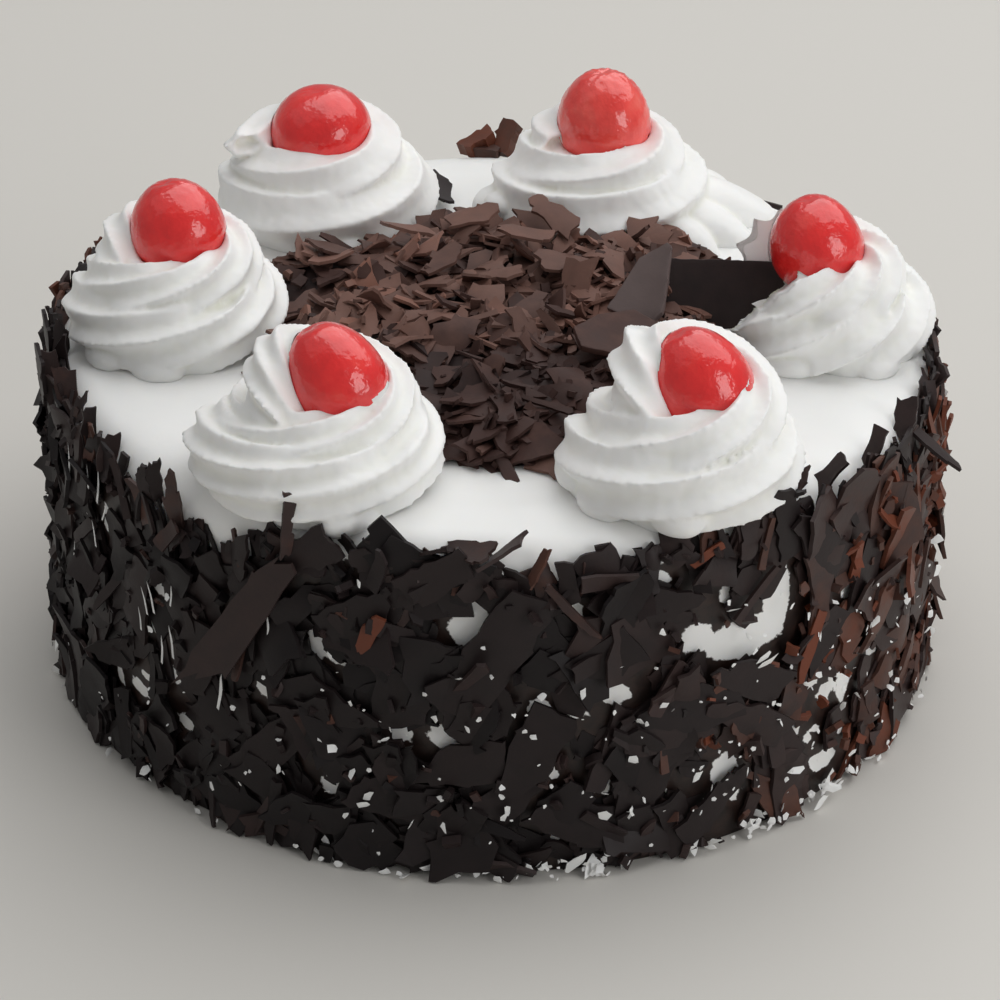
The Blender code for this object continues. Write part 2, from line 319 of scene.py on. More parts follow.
def cherry_place(index):
    """The matrix that turns a unit cherry into its place in the frame."""
    _, lean, heading, _, width, length = CHERRIES[index]
    low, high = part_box(f"cherry_{index}")
    turn = radians(heading)
    tilt = Matrix.Rotation(radians(lean), 4, Vector((-sin(turn), cos(turn), 0)))
    middle = (low + high) / 2 - Vector((0, 0, CHERRY_SINK.get(index, 0) * MM))
    size = Matrix.Diagonal((width * MM / 2, width * MM / 2, length * MM / 2, 1))
    return Matrix.Translation(middle) @ tilt @ size


def cherry_swell(up, aside, taper):
    """How a unit sphere's point moves: scale of its sides, and new height."""
    dimple = CHERRY_DIMPLE * exp(-(aside / DIMPLE_WIDTH) ** 2) if up > 0 else 0.0
    return 1 - taper * up, up - dimple


def make_cherry(index, material):
    """A dimpled, slightly wrinkled ball in its node's place."""
    taper, _, _, wrinkle, _, _ = CHERRIES[index]
    bm = bmesh.new()
    bmesh.ops.create_uvsphere(bm, u_segments=64, v_segments=40, radius=1.0)
    for vertex in bm.verts:
        side, height = cherry_swell(vertex.co.z, hypot(vertex.co.x, vertex.co.y), taper)
        lump = 1 + LOPSIDED * bumps(vertex.co, LOPSIDED_SIZE, index)
        lump += wrinkle / 10 * bumps(vertex.co, WRINKLE_SIZE, index)
        vertex.co = Vector((vertex.co.x * side * lump, vertex.co.y * side * lump, height * lump))
    bmesh.ops.transform(bm, matrix=cherry_place(index), verts=bm.verts)
    return place_mesh(f"glazed_cherry_{index}", mesh_from("cherry", bm), material, "glazed_cherry",
                      f"cherry_{index}")


# %% Cherry finish


def cherry_finish(name, stops):
    """Translucent red flesh, mottled, under an uneven coat of syrup."""
    material, shader = new_finish(name, Roughness=0.3, IOR=1.45, Specular_IOR_Level=0.4,
                                  Coat_Weight=0.9, Coat_IOR=1.6, Coat_Roughness=0.1,
                                  Subsurface_Weight=0.1, Subsurface_Scale=0.002)
    shader.inputs["Subsurface Radius"].default_value = (1.0, 0.2, 0.12)
    place = add_node(material, "TexCoord").outputs["Object"]
    # the flesh is mottled in patches about 6 mm across
    mottle = add_node(material, "TexNoise", {"Scale": 1 / (6 * MM), "Detail": 3.0},
                      {"Vector": place})
    tone = colour_ramp(material, mottle.outputs["Fac"], stops)
    join_sockets(material, tone.outputs["Color"], shader.inputs["Base Color"])
    # the syrup dried unevenly, in waves about 1.4 mm apart
    waves = add_node(material, "TexNoise", {"Scale": 1 / (1.4 * MM), "Detail": 2.0},
                     {"Vector": place})
    bump = add_node(material, "Bump", {"Strength": 0.8, "Distance": 0.2 * MM},
                    {"Height": waves.outputs["Fac"]})
    join_sockets(material, bump.outputs["Normal"], shader.inputs["Coat Normal"])
    join_sockets(material, bump.outputs["Normal"], shader.inputs["Normal"])
    return material


cherry_red = cherry_finish("glazed cherry in syrup", [(0.3, "#e01f20"), (0.55, "#f02626"),
                                                      (0.8, "#f53a32")])
cherry_pale = cherry_finish("pale glazed cherry", [(0.3, "#ee3a34"), (0.55, "#fb4f47"),
                                                   (0.8, "#ff6a5e")])
PALE_CHERRY = 2

for cherry_index in CHERRIES:
    make_cherry(cherry_index, cherry_pale if cherry_index == PALE_CHERRY else cherry_red)

# %% [markdown]
# ## Piped rosettes
#
# A baker holds a star nozzle upright and leads it round a little over twice, each turn higher and
# tighter. The rope has six to nine teeth, and they roll round the rope on the way, which makes the
# ridges climb round a rosette. Here a star-shaped ring is extruded along that coil, a voxel remesh
# melts the passes into one body, and the cherry then presses its seat.

# %% Rope of cream
# the rope in mm, and how high its middle runs on the cake as a share of its radius
ROPE_RADIUS = 8.9
ROPE_END_RADIUS = 7.6
ROPE_SAG = 0.74
RING_POINTS = 84
STEPS_PER_TURN = 40
FRONT = -pi / 2
# turns before the rope climbs, degrees in which it ends, and where the crown is, in turns
FLAT_TURNS = 0.62
TAIL = 45
CROWN_BEFORE_END = 85 / 360
TAIL_LIFT = 2.5
LITTLE_FALL = 2
# how far the hand wanders: sideways and up in mm, in size and in roll
WANDER_ASIDE, WANDER_UP, WANDER_SIZE, WANDER_ROLL = 0.7, 0.6, 0.07, 0.22
# turns, end azimuth, base radius and crown height in mm, radius of the end coil, outward flare of the
# end, teeth of the nozzle, depth of a tooth, roll of the teeth per turn, azimuth of a crest at the
# front, power of the climb (below 1 the rope rises early), fall in mm from the crown to the end
ROSETTES = {
    1: (2.20, 232, 23.6, 19.0, 10.4, 0.0, 6, 0.30, 1.5, 100, 0.90, 3.0),
    2: (2.15, 205, 26.8, 17.0, 11.4, 0.0, 6, 0.24, 0.45, 105, 0.90, 1.0),
    3: (2.15, 204, 26.4, 18.4, 11.4, 7.0, 6, 0.22, 0.45, 112, 0.85, 0.0),
    4: (2.20, 228, 24.8, 19.5, 10.4, 2.5, 8, 0.25, 0.75, 115, 1.00, 5.0),
    5: (2.24, 246, 26.6, 22.5, 10.0, 0.0, 9, 0.25, 0.50, 112, 1.60, 10.0),
    6: (2.24, 244, 25.2, 24.5, 10.6, 0.0, 7, 0.28, 0.60, 108, 1.50, 11.0),
}


def rope_state(rosette, turned):
    """Coil radius, height and thickness of the rope in mm after so many turns."""
    turns, _, base, crown_height, end_coil, *_, climb_power, fall = rosette
    crown = turns - CROWN_BEFORE_END
    climb = clamp((turned - FLAT_TURNS) / (crown - FLAT_TURNS))
    start_coil = base - ROPE_RADIUS
    coil = start_coil + (end_coil - start_coil) * sin(climb * pi / 2)
    size = ROPE_RADIUS + (ROPE_END_RADIUS - ROPE_RADIUS) * climb
    low = ROPE_SAG * ROPE_RADIUS
    height = low + (crown_height - low) * climb ** climb_power
    # past its highest point the rope drapes down towards the front
    height -= fall * max(0.0, (turned - crown) / CROWN_BEFORE_END) ** 1.5
    return coil, height, size, climb


def rope_matrix(rosette, centre, turned, seed):
    """Where the nozzle's star stands after so many turns: place, roll and size."""
    turns, end_azimuth, _, _, _, flare, _, _, rolling, crest_at, _, fall = rosette
    angle = radians(end_azimuth) - tau * (turns - turned)
    coil, height, size, climb = rope_state(rosette, turned)
    wander = Vector((turned * 3.1, seed * 5.3, 0))
    coil += WANDER_ASIDE * noise.noise(wander)
    height += WANDER_UP * noise.noise(wander + Vector((0, 0, 9)))
    size *= 1 + WANDER_SIZE * noise.noise(wander * 1.7 + Vector((4, 0, 0)))
    size *= min(1.0, 0.8 + turned / 0.25)
    left = max(0.0, (turns - turned) * 360)
    flatten = 1 - 0.45 * max(0.0, 1 - left / TAIL)
    if left < TAIL:
        coil += flare * (1 - left / TAIL) ** 1.5
        height += (TAIL_LIFT if fall < LITTLE_FALL else 0.0) * (1 - left / TAIL) ** 1.5
        size *= 0.72 + 0.28 * (left / TAIL) ** 0.5
    # the upper pass winds close round the cherry, which sits a little off the middle
    off_middle = cherry_place(seed).translation - centre
    off_middle.z = 0
    place = centre + off_middle * min(1.0, climb) * 0.8 + polar(coil * MM, angle, height * MM)
    upright = Matrix(((1, 0, 0), (0, 0, -1), (0, 1, 0))).to_4x4()
    roll = radians(crest_at) + rolling * (angle - FRONT)
    roll += WANDER_ROLL * noise.noise(wander * 0.8 + Vector((0, 7, 0)))
    return (Matrix.Translation(place) @ Matrix.Rotation(angle, 4, "Z") @ upright
            @ Matrix.Diagonal((1, flatten, 1, 1)) @ Matrix.Rotation(roll, 4, "Z")
            @ Matrix.Diagonal((size * MM, size * MM, size * MM, 1)))


def star_ring(bm, teeth, depth):
    """A ring with crisp crests and broad hollow valleys between them. Returns its edges."""
    made = bmesh.ops.create_circle(bm, segments=RING_POINTS, radius=1.0)
    for vertex in made["verts"]:
        valley = abs(sin(teeth * atan2(vertex.co.y, vertex.co.x) / 2))
        vertex.co *= 1 - depth * valley ** 0.85
    return list(bm.edges)


def extrude_ring(bm, ring):
    """Extrude a ring of edges. Returns the new points and the new ring."""
    grown = bmesh.ops.extrude_edge_only(bm, edges=ring)["geom"]
    verts = [item for item in grown if isinstance(item, bmesh.types.BMVert)]
    fresh = set(verts)
    return verts, [item for item in grown if isinstance(item, bmesh.types.BMEdge)
                   and all(vertex in fresh for vertex in item.verts)]


def sweep_rope(bm, rosette, centre, seed):
    """Extrude the star along the coil and close both ends."""
    turns, teeth, depth = rosette[0], rosette[6], rosette[7]
    ring = star_ring(bm, teeth, depth)
    here = rope_matrix(rosette, centre, 0.0, seed)
    bmesh.ops.transform(bm, matrix=here, verts=bm.verts)
    bmesh.ops.contextual_create(bm, geom=ring)
    steps = int(turns * STEPS_PER_TURN)
    for step in range(1, steps + 1):
        there = rope_matrix(rosette, centre, turns * step / steps, seed)
        verts, ring = extrude_ring(bm, ring)
        bmesh.ops.transform(bm, matrix=there @ here.inverted(), verts=verts)
        here = there
    # the end stays open like a small trough where the nozzle broke away
    for shrink, sink in ((0.72, 0.0), (0.6, 0.45)):
        verts, ring = extrude_ring(bm, ring)
        inward = Matrix.Translation((0, 0, sink)) @ Matrix.Diagonal((shrink, shrink, 1, 1))
        bmesh.ops.transform(bm, matrix=there @ inward @ there.inverted(), verts=verts)
    bmesh.ops.contextual_create(bm, geom=ring)
    bmesh.ops.recalc_face_normals(bm, faces=bm.faces)


def add_dab(bm, place, size, stretch, azimuth, slope=0.0):
    """A dab of cream, drawn out along an azimuth and sloping down that way by an angle."""
    made = bmesh.ops.create_icosphere(bm, subdivisions=3, radius=size * MM)
    shape = (Matrix.Translation(place) @ Matrix.Rotation(azimuth, 4, "Z")
             @ Matrix.Rotation(slope, 4, "Y") @ Matrix.Diagonal((stretch, 1.0, 0.8, 1.0)))
    bmesh.ops.transform(bm, matrix=shape, verts=made["verts"])


# %% Rosette bodies


def melt(bm, voxel):
    """Fuse overlapping closed shapes into one even mesh with a voxel remesh."""
    source = bpy.data.objects.new("melting", mesh_from("melting", bm))
    bpy.context.scene.collection.objects.link(source)
    modifier = source.modifiers.new("Melt", "REMESH")
    modifier.mode = "VOXEL"
    modifier.voxel_size = voxel
    graph = bpy.context.evaluated_depsgraph_get()
    melted = bpy.data.meshes.new_from_object(source.evaluated_get(graph))
    bpy.data.objects.remove(source)
    fused = bmesh.new()
    fused.from_mesh(melted)
    bpy.data.meshes.remove(melted)
    return fused


def press_seat(bm, index):
    """Push cream that lies inside the cherry out to the cherry's skin."""
    place = cherry_place(index)
    back = place.inverted()
    taper = CHERRIES[index][0]
    for vertex in bm.verts:
        local = back @ vertex.co
        side, _ = cherry_swell(max(-1, min(1, local.z)), 1.0, taper)
        unit = Vector((local.x / side, local.y / side, local.z))
        if unit.length < 1.0:
            unit = unit.normalized() * (0.985 if unit.length < 0.9 else 1.0)
            vertex.co = place @ Vector((unit.x * side, unit.y * side, unit.z))


SLAB_ROSETTE = 1
# place in mm, then tip back, turn and roll in degrees, as the frame has the three big shards
SLAB_POSE = (49.3, 0.2, 84.4, 64, -3, 0)
CURL_POSE = (33.0, -7.0, 91.6, 34, -28, 0)
FLAT_POSE = (24.5, -27.0, 88.4, 16, 24, 0)


def shard_place(pose):
    x, y, z, tip, turn, roll = pose
    return (Matrix.Translation(Vector((x, y, z)) * MM) @ Matrix.Rotation(radians(turn), 4, "Z")
            @ Matrix.Rotation(radians(tip), 4, "X") @ Matrix.Rotation(radians(roll), 4, "Y"))


# how far the slab reaches along, down and back in the cream, in its own mm
SLAB_END, SLAB_DEPTH, SLAB_BACK = 14.5, 9.5, -1.2
# cream this close to a cherry is smoothed, in cherry radii
RIM_REACH = 1.28


def press_slab(bm):
    """Keep the cream behind the big slab that was pushed into this rosette."""
    place = shard_place(SLAB_POSE)
    back = place.inverted()
    for vertex in bm.verts:
        local = back @ vertex.co
        # torn cream covers the slab's lower right corner
        torn_edge = min(SLAB_END, 11 + 1.05 * local.y / MM) + 0.7 * bumps(vertex.co, 2 * MM, 3)
        inside = clamp((local.y / MM + SLAB_DEPTH) / 2) * clamp(torn_edge - local.x / MM)
        behind = min(local.z, SLAB_BACK * MM)
        local.z += (behind - local.z) * inside
        vertex.co = place @ local


def soften_rim(bm, index):
    """Smooth the cream within a few mm of the cherry, then press the seat once more."""
    back = cherry_place(index).inverted()
    for _ in range(4):
        rim = [vertex for vertex in bm.verts if (back @ vertex.co).length < RIM_REACH]
        smooth_points(bm, rim, 0.5)
    press_seat(bm, index)


MELT_VOXEL = 0.54 * MM
# two balls of cream fill the middle under the cherry: offset and radius in mm
FILLING_HEIGHT = 8.5
FILLING = (((0, 0, 0), 12.0), ((-2.5, 1, 1.5), 11.0))


def make_rosette(index, material):
    """One rosette: rope, filling, dabs and folds melted together, with the cherry's seat."""
    low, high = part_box(f"rosette_{index}")
    cad_centre = (low + high) / 2
    centre = Vector((ROSETTE_PLACES[index][0] * MM, ROSETTE_PLACES[index][1] * MM, CREAM_TOP))
    bm = bmesh.new()
    sweep_rope(bm, ROSETTES[index], centre, index)
    under_cherry = cherry_place(index).translation
    under_cherry.z = CREAM_TOP + FILLING_HEIGHT * MM
    for offset, size in FILLING:
        add_dab(bm, under_cherry + Vector(offset) * MM, size, 1.0, 0)
    for azimuth, distance, size, stretch, rise in DABS[index]:
        spot = centre + polar(distance * MM, radians(azimuth), rise * MM)
        add_dab(bm, spot, size, stretch, radians(azimuth + 90))
    for azimuth, distance, size, stretch, rise in FOLDS.get(index, ()):
        spot = centre + polar(distance * MM, radians(azimuth), rise * MM)
        add_dab(bm, spot, size, stretch, radians(azimuth), FOLD_SLOPE)
    bm = melt(bm, MELT_VOXEL)
    smooth_points(bm, bm.verts, 0.4, 3)
    for vertex in bm.verts:
        vertex.co += vertex.normal * MM * (0.45 * bumps(vertex.co, 7 * MM, index)
                                           + 0.10 * bumps(vertex.co, 2 * MM, index))
    press_seat(bm, index)
    soften_rim(bm, index)
    if index == SLAB_ROSETTE:
        press_slab(bm)
    mesh = mesh_from("rosette", bm)
    mark_grooves(mesh)
    print(f"  stands {(centre - cad_centre).to_2d().length * 1000:.1f} mm from its node's middle")
    return place_mesh(f"cream_rosette_{index}", mesh, material, "piped_cream", f"rosette_{index}")


# middle of each rosette's coil in mm, as the frame has it
ROSETTE_PLACES = {1: (71.2, -3.4), 2: (23.6, 59.0), 3: (-39.6, 55.2), 4: (-69.0, -5.4),
                  5: (-35.4, -66.2), 6: (36.6, -67.0)}
# azimuth, distance from the middle, size, stretch and height of stray dabs at a rosette's foot
DABS = {
    1: ((165, 18, 4.0, 1.4, 5), (-120, 19, 4.0, 1.6, 2), (-60, 19.5, 3.4, 1.5, 1.5),
        (-112, 9.0, 5.2, 1.2, 15)),
    2: ((188, 24, 6.0, 1.2, 3), (202, 25, 3.2, 1.4, 6), (-95, 22, 5.0, 1.6, 2)),
    3: ((170, 21, 5.0, 1.5, 4), (-80, 22, 5.0, 1.5, 2)),
    4: ((-95, 20.5, 4.2, 1.4, 1.5), (-130, 20.5, 3.6, 1.5, 2), (170, 20, 4.4, 1.5, 5)),
    5: ((-72, 22.0, 4.4, 1.5, 1.5),),
    6: ((-92, 20.5, 4.8, 1.2, 3), (192, 20.5, 4.8, 1.2, 4), (-140, 20.5, 4.0, 1.5, 1.5)),
}
# long folds of cream that slope away from a rosette: azimuth, distance, size, stretch, height
FOLD_SLOPE = radians(16)
FOLDS = {
    1: ((120, 20, 6.0, 1.8, 3.0), (100, 19, 5.5, 1.6, 3.0)),
    2: ((-2, 26, 7.6, 2.1, 3.0), (-24, 25, 6.6, 2.2, 2.4), (-44, 24, 6.0, 2.2, 2.2),
        (14, 22, 7.0, 1.6, 4.0)),
}

for rosette_index in ROSETTES:
    make_rosette(rosette_index, piped_cream)

# %% [markdown]
# ## The cream-covered cake
#
# The cake is covered in cream with a rounded shoulder, smoothed by a spatula.
# On the side hardly any of it shows: fine cocoa crumbs fill the gaps between the shavings, and only
# a few bare spots stay white. The attribute "crumbs" says where, 1 for crumbs and 0 for cream.

# %% Where the coat of shavings ends and where it is bare
# azimuth in degrees, height, half width and half height in mm
BARE_SPOTS = (
    (-58.5, 48, 8.5, 5.0), (-53.5, 54, 3.4, 9.0), (-65, 51, 3.8, 3.4), (-92.5, 59, 4.2, 6.0),
    (-88, 56, 3.0, 4.6), (-60, 17, 3.0, 4.6), (-101, 33, 3.0, 2.4), (-84, 39, 2.6, 2.6),
    (-75, 41, 3.4, 2.0), (-131, 20, 2.6, 2.0), (-109, 17, 3.4, 2.2), (-69, 17, 1.8, 3.2),
    (-118, 37, 2.8, 3.0), (-140, 21, 2.6, 2.0), (-31, 13, 3.6, 3.4), (-43, 8, 4.6, 2.2),
    (-146, 57, 2.0, 3.0), (-94, 27, 3.4, 4.0), (-96, 33, 2.6, 3.0), (-111, 50, 2.0, 4.0),
    (-106, 44, 2.2, 1.6), (-40, 24, 2.2, 4.4), (-38, 34, 1.6, 3.4), (-80, 62, 1.8, 1.8),
    (-20, 22, 2.0, 3.2), (-12, 40, 1.6, 3.0), (-47, 30, 2.0, 2.0), (-52, 12, 2.4, 2.2),
)
# small gaps between shavings, most of them low and near the front
GAP_COUNT = 46
small_gaps = tuple((chance.gauss(-70, 42), chance.triangular(4, 70, 25), chance.uniform(1.0, 2.4),
                    chance.uniform(1.0, 2.6)) for _ in range(GAP_COUNT))


EDGE_HEIGHT = 75.0
# where the coat's edge dips: azimuth in degrees, depth in mm, half width in degrees
EDGE_DIPS = ((-85, 6.0, 8.5), (-70, 2.0, 5), (-127, 7.5, 12))


def coat_top(azimuth):
    """Height in mm of the coat's upper edge at an azimuth in degrees."""
    dip = sum(depth * exp(-((azimuth - middle) / width) ** 2) for middle, depth, width in EDGE_DIPS)
    behind = 8.0 * max(0.0, min(1.0, (azimuth - 0) / 15, (150 - azimuth) / 8))
    ragged = 1.4 * noise.noise(Vector((azimuth / 4, 0, 3)))
    return EDGE_HEIGHT - dip - behind + ragged


def bareness(azimuth, height, margin=0.0):
    """Above 1 well inside a bare spot, below 1 outside; margin in mm widens the spots."""
    best = 0.0
    for spot_azimuth, spot_height, half_width, half_height in BARE_SPOTS + small_gaps:
        across = radians(azimuth - spot_azimuth) * BODY_RADIUS / MM / (half_width + margin)
        along = (height - spot_height) / (half_height + margin)
        best = max(best, 2.0 - hypot(across, along))
    return best


# %% Cream body
BODY_STEPS = 288
SHOULDER = 7.0
TOP_RINGS, SHOULDER_RINGS, SIDE_RINGS, BASE_RINGS = 26, 6, 44, 4
CRUMBS_BELOW_EDGE = 2.5
# depth and length in mm, and seed
SPATULA_WAVES = ((0.45, 26, 2), (0.22, 9, 5))
body_top = CREAM_TOP / MM


def body_profile():
    """Radius and height in mm from the middle of the top down to the middle of the base."""
    radius = BODY_RADIUS / MM
    points = [(0.01 + (radius - SHOULDER) * step / TOP_RINGS, body_top)
              for step in range(TOP_RINGS + 1)]
    points += [(radius - SHOULDER + SHOULDER * sin(turn), body_top - SHOULDER + SHOULDER * cos(turn))
               for turn in (pi / 2 * step / SHOULDER_RINGS for step in range(1, SHOULDER_RINGS + 1))]
    side = body_top - SHOULDER
    points += [(radius, side - side * step / SIDE_RINGS) for step in range(1, SIDE_RINGS + 1)]
    points += [(radius * (1 - step / BASE_RINGS) + 0.01, 0.0) for step in range(1, BASE_RINGS + 1)]
    return points


def crumb_cover(azimuth, radius, height):
    """How much cocoa crumb lies on the cream at a point, 0 to 1."""
    edge = coat_top(azimuth) - CRUMBS_BELOW_EDGE
    if height > edge or radius < BODY_RADIUS / MM - SHOULDER - 1:
        return 0.0
    fade = min(1.0, (edge - height) / 2)
    return fade * clamp(2.6 - 2.0 * bareness(azimuth, height))


body_bm = bmesh.new()
profile = [body_bm.verts.new((r * MM, 0, h * MM)) for r, h in body_profile()]
profile_edges = [body_bm.edges.new(pair) for pair in zip(profile, profile[1:])]
bmesh.ops.spin(body_bm, geom=profile + profile_edges, axis=(0, 0, 1), cent=(0, 0, 0), angle=tau,
               steps=BODY_STEPS, use_merge=True)
bmesh.ops.remove_doubles(body_bm, verts=body_bm.verts, dist=0.05 * MM)
bmesh.ops.recalc_face_normals(body_bm, faces=body_bm.faces)
body_crumbs = []
for vertex in body_bm.verts:
    radius, azimuth = hypot(vertex.co.x, vertex.co.y) / MM, degrees(atan2(vertex.co.y, vertex.co.x))
    height = vertex.co.z / MM
    body_crumbs.append(crumb_cover(azimuth, radius, height))
    if height > 60:
        # the spatula leaves the top gently uneven, with fainter short strokes in it
        vertex.co.z += MM * sum(depth * bumps(vertex.co, size * MM, seed)
                                for depth, size, seed in SPATULA_WAVES)
        # a low fold of cream runs round the shoulder
        vertex.co.z += MM * 0.5 * exp(-((radius - 84 - 2 * sin(radians(azimuth) * 5)) / 1.6) ** 2)
    else:
        vertex.co.xy *= 1 + 0.004 * bumps(vertex.co, 9 * MM, 6)
body_mesh = mesh_from("cream body", body_bm)
store(body_mesh, "crumbs", body_crumbs)
store(body_mesh, "groove", [0.0] * len(body_crumbs))

cake_cream = cream_finish("spread whipped cream with cocoa crumbs")
cake_shader = cake_cream.node_tree.nodes["Principled BSDF"]
cream_colour = cake_shader.inputs["Base Color"].links[0].from_socket
cover = add_node(cake_cream, "Attribute", attribute_name="crumbs").outputs["Fac"]
cake_coords = add_node(cake_cream, "TexCoord").outputs["Object"]
# crumbs lie in clots about 3 mm across with finer ones between
clots = add_node(cake_cream, "TexNoise", {"Scale": 1 / (3 * MM), "Detail": 4.0,
                                                    "Roughness": 0.65}, {"Vector": cake_coords})
clot_cover = add_node(cake_cream, "Math", links={0: cover, 1: clots.outputs["Fac"]},
                      operation="ADD")
covered = add_node(cake_cream, "MapRange", {"From Min": 1.02, "From Max": 1.14},
                   {"Value": clot_cover.outputs["Value"]})
crumb_tone = colour_ramp(cake_cream, clots.outputs["Fac"], [(0.3, "#191312"), (0.7, "#33231e")])
cake_mix = add_node(cake_cream, "Mix", links={0: covered.outputs["Result"], 6: cream_colour,
                                                        7: crumb_tone.outputs["Color"]},
                    data_type="RGBA")
join_sockets(cake_cream, cake_mix.outputs[2], cake_shader.inputs["Base Color"])
place_mesh("cream_body", body_mesh, cake_cream, "cream", "cake_body")

# %% [markdown]
# ## Shavings of dark chocolate
#
# A knife drawn over a block of chocolate lifts thin curls that break into plates, slivers and chips.
# A few dozen different shavings are made first: a grid, cut by straight breaks, bent and given
# thickness. They are then laid by the hundred with their own size, turn and shade of brown.

# %% Chocolate finish


def chocolate_finish(name, stops, roughness):
    """Dark chocolate whose brown follows the shaving's "shade", with faint streaks from the knife."""
    material, shader = new_finish(name, Roughness=roughness, IOR=1.5, Specular_IOR_Level=0.24)
    shade = add_node(material, "Attribute", attribute_name="shade").outputs["Fac"]
    place = add_node(material, "TexCoord").outputs["Object"]
    # cocoa butter blooms in soft patches about 5 mm across
    patches = add_node(material, "TexNoise", {"Scale": 1 / (5 * MM), "Detail": 4.0,
                                                        "Roughness": 0.6}, {"Vector": place})
    varied = add_node(material, "Math", {1: 0.35, 2: -0.175},
                      {0: patches.outputs["Fac"]}, operation="MULTIPLY_ADD")
    tone = add_node(material, "Math", links={0: shade, 1: varied.outputs["Value"]},
                    operation="ADD")
    ramp = colour_ramp(material, tone.outputs["Value"], stops)
    join_sockets(material, ramp.outputs["Color"], shader.inputs["Base Color"])
    # fine drag marks, 0.7 mm apart
    marks = add_node(material, "TexNoise", {"Scale": 1 / (0.7 * MM), "Detail": 2.0},
                     {"Vector": place})
    bump = add_node(material, "Bump", {"Strength": 0.3, "Distance": 0.1 * MM},
                    {"Height": marks.outputs["Fac"]})
    join_sockets(material, bump.outputs["Normal"], shader.inputs["Normal"])
    gloss = add_node(material, "MapRange", {"To Min": roughness - 0.1,
                                                      "To Max": roughness + 0.14},
                     {"Value": patches.outputs["Fac"]})
    join_sockets(material, gloss.outputs["Result"], shader.inputs["Roughness"])
    return material


# painted light: one chocolate is made twice; the brown copy for the heap, its core and the flat piece is
# drawn lighter for the light falling on the top, and the dark copy for the sides, rim and slab stays
# darker
dark_chocolate = chocolate_finish("dark chocolate shavings", [
    (0.0, "#191415"), (0.35, "#292020"), (0.6, "#3b2d2b"), (0.8, "#57392f"), (1.0, "#703c2a")], 0.48)
top_lit_chocolate = chocolate_finish("brown chocolate shavings", [
    (0.0, "#211616"), (0.35, "#46302b"), (0.6, "#6a4e45"), (0.8, "#7e5c51"), (1.0, "#8c6050")], 0.6)

# %% Making shavings


def make_shaving(length, width, curl, cuts, twist=0.0, thickness=0.9, rows=4, columns=2, tear=0.07,
                 cup=0.0):
    """One broken shaving in mm, long side along X, bowed up along Z. Returns points and triangles."""
    bm = bmesh.new()
    bmesh.ops.create_grid(bm, x_segments=rows, y_segments=columns, size=0.5)
    for _ in range(cuts):
        turn = chance.uniform(0, tau)
        away = Vector((cos(turn), sin(turn), 0))
        bmesh.ops.bisect_plane(bm, geom=bm.verts[:] + bm.edges[:] + bm.faces[:], clear_outer=True,
                               plane_co=away * chance.uniform(0.25, 0.47), plane_no=away)
    for vertex in bm.verts:
        if vertex.is_boundary:
            vertex.co.x += chance.uniform(-tear, tear) * 0.6
            vertex.co.y += chance.uniform(-tear, tear)
        across, along = vertex.co.y * width, vertex.co.x * length
        lift = curl * (along / 10) ** 2 + twist * along * across / 50 + chance.uniform(-0.1, 0.1)
        lift += cup * (across / 5) ** 2
        vertex.co = Vector((along, across, lift))
    bmesh.ops.solidify(bm, geom=bm.faces[:], thickness=thickness)
    bmesh.ops.recalc_face_normals(bm, faces=bm.faces)
    bmesh.ops.triangulate(bm, faces=bm.faces)
    points = np.array([vertex.co for vertex in bm.verts])
    triangles = np.array([[corner.index for corner in face.verts] for face in bm.faces])
    bm.free()
    return points, triangles


PLATES = [make_shaving(10, chance.uniform(5, 9), chance.uniform(-1.2, 2.2), chance.randint(2, 4),
                       chance.uniform(-2, 2)) for _ in range(22)]
SLIVERS = [make_shaving(10, chance.uniform(1.4, 3.0), chance.uniform(-1, 3), chance.randint(1, 2),
                        chance.uniform(-4, 4)) for _ in range(12)]
CURLED = [make_shaving(10, chance.uniform(4.5, 8.5), chance.uniform(-7, 5), chance.randint(2, 4),
                       chance.uniform(-5, 5), rows=5, columns=3, tear=chance.uniform(0.07, 0.12),
                       cup=chance.uniform(-2.5, 1.5)) for _ in range(30)]
CHIPS = [make_shaving(10, chance.uniform(6, 11), 0, chance.randint(1, 3), rows=2, columns=2,
                      thickness=chance.uniform(2.0, 4.5), tear=0.16) for _ in range(12)]
print(len(PLATES + SLIVERS + CURLED + CHIPS), "kinds of shaving, up to",
      max(len(shape[1]) for shape in CURLED), "triangles each")


FLOOR_GAP = 0.2 * MM
SHAVING_CREASE = 32


def join_shavings(name, laid, material, slot, *replaced):
    """Join shavings, each a shape, its place and its shade, into one piece that keeps the shades."""
    points, triangles, shades, count = [], [], [], 0
    for (shape_points, shape_triangles), matrix, shade in laid:
        place = np.array(matrix)
        placed = shape_points @ place[:3, :3].T + place[:3, 3]
        placed[:, 2] += max(0.0, FLOOR_GAP - placed[:, 2].min())
        points.append(placed)
        triangles.append(shape_triangles + count)
        shades.append(np.full(len(shape_points), shade))
        count += len(shape_points)
    mesh = bpy.data.meshes.new(name)
    mesh.from_pydata(np.concatenate(points).tolist(), [], np.concatenate(triangles).tolist())
    store(mesh, "shade", np.concatenate(shades))
    mesh.shade_smooth()
    mesh.set_sharp_from_angle(angle=radians(SHAVING_CREASE))
    print(f"{name}: {len(laid)} shavings")
    return place_mesh(name, mesh, material, slot, *replaced)


def facing(origin, along, outward, size=1.0, tip=0.0, roll=0.0):
    """A matrix that lays a shaving at origin: long side along, face outward, then tipped in degrees."""
    across = outward.cross(along).normalized()
    along = across.cross(outward).normalized()
    frame_matrix = Matrix((along, across, outward.normalized())).transposed().to_4x4()
    scale = size * MM
    thick = min(size, 0.6 + size / 5) * MM
    return (Matrix.Translation(origin) @ frame_matrix @ Matrix.Rotation(radians(tip), 4, "Y")
            @ Matrix.Rotation(radians(roll), 4, "X") @ Matrix.Diagonal((scale, scale, thick, 1)))


SOFT_SHOULDER = 55
RIGHT_SINK = 2.5


